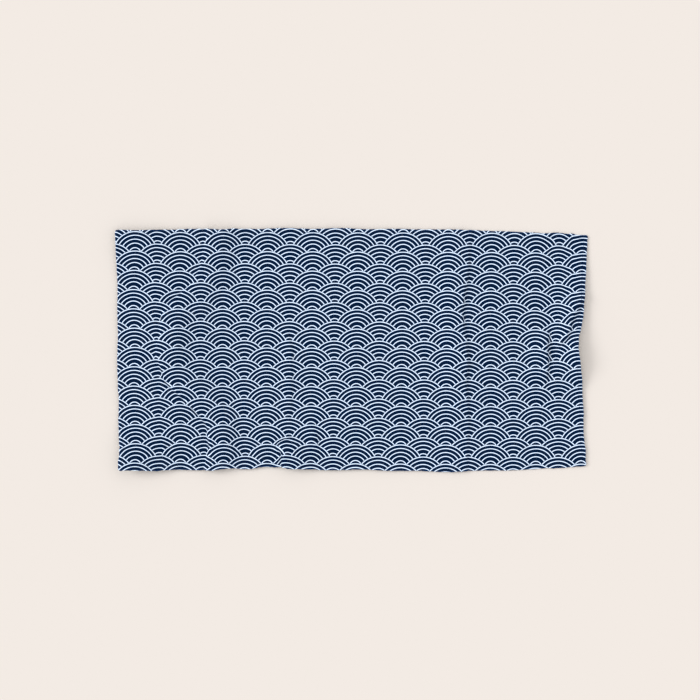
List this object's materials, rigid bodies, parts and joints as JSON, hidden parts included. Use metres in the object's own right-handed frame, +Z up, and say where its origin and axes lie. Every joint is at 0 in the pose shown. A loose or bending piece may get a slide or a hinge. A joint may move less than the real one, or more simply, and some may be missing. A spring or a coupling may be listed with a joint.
{
  "type": "bath towel",
  "caption": "Printed towelling bath towel lying face up and spread out, with soft wrinkles, a wave print and turned hems.",
  "frame": {"origin": "under the middle of the laid towel, on the surface that it rests on", "axes": "+X along the towel's length, +Y across it towards the tops of the printed fans, +Z up out of the printed face"},
  "size_m": [1.3948, 0.72, 0.0298],
  "materials": {
    "printed_towelling": "sheared cotton pile with a navy and white print, looped pile on the back"
  },
  "bodies": {
    "root": {"towel": "printed_towelling"}
  },
  "joints": []
}
